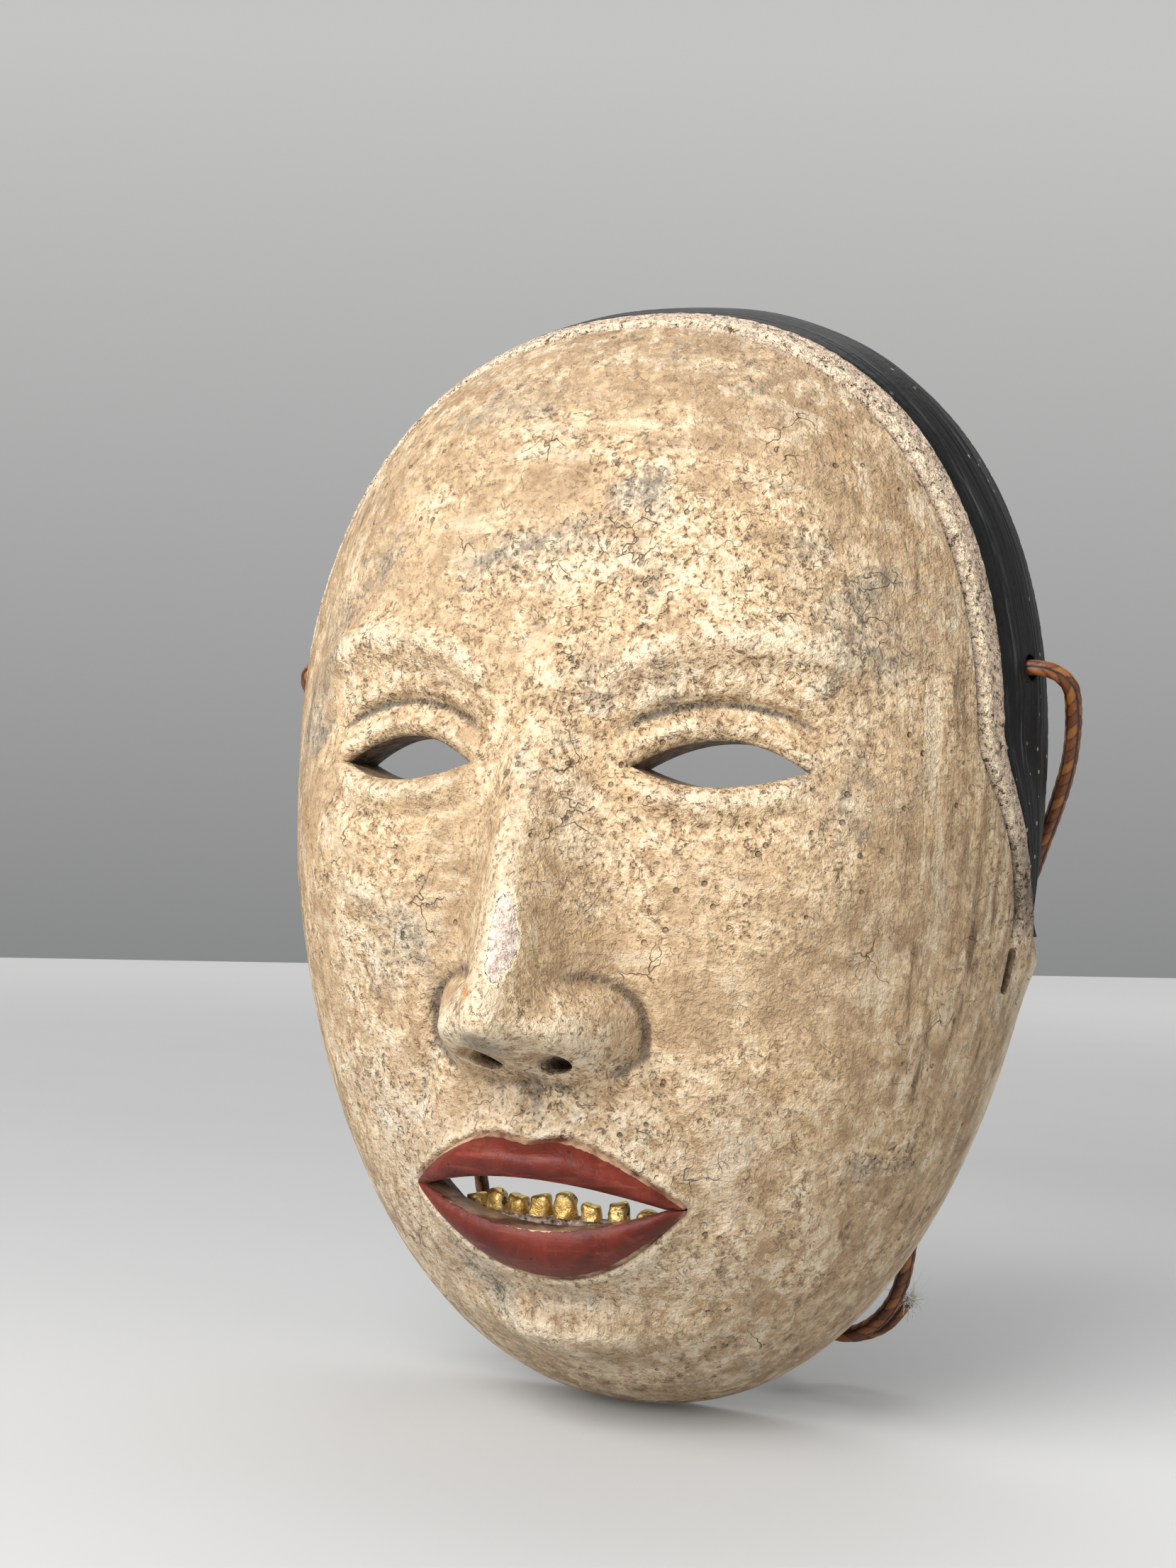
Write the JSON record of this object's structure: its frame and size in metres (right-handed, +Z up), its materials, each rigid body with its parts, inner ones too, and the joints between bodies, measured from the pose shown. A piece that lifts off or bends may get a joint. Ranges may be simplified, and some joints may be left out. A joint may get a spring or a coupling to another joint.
{
  "type": "noh mask",
  "caption": "Carved and painted wooden theatre mask with a black hair band, red lips, gilt lower teeth and a braided tie cord through its sides.",
  "frame": {"origin": "middle of the flat back rim, halfway up the mask", "axes": "+Z up from chin to crown, the face looks along -Y, +X is the mask's left cheek side; the back rim lies in the plane y = 0"},
  "size_m": [0.1578, 0.1149, 0.2074],
  "materials": {
    "gesso": "worn cream shell-white paint over carved wood, matte",
    "black_paint": "black paint, satin",
    "red_paint": "brick-red paint, satin",
    "bare_wood": "dark rough carved wood",
    "gilt": "worn gilding",
    "cord": "braided cord, rust orange with dark flecks"
  },
  "bodies": {
    "root": {"face_shell": "gesso", "hair_band": "black_paint", "upper_lip": "red_paint", "lower_lip": "red_paint", "gum_ridge": "bare_wood", "lower_teeth": "gilt", "stopper_knots": "cord", "right_tie_cord": "cord", "left_tie_cord": "cord", "tie_knot": "cord"}
  },
  "joints": []
}
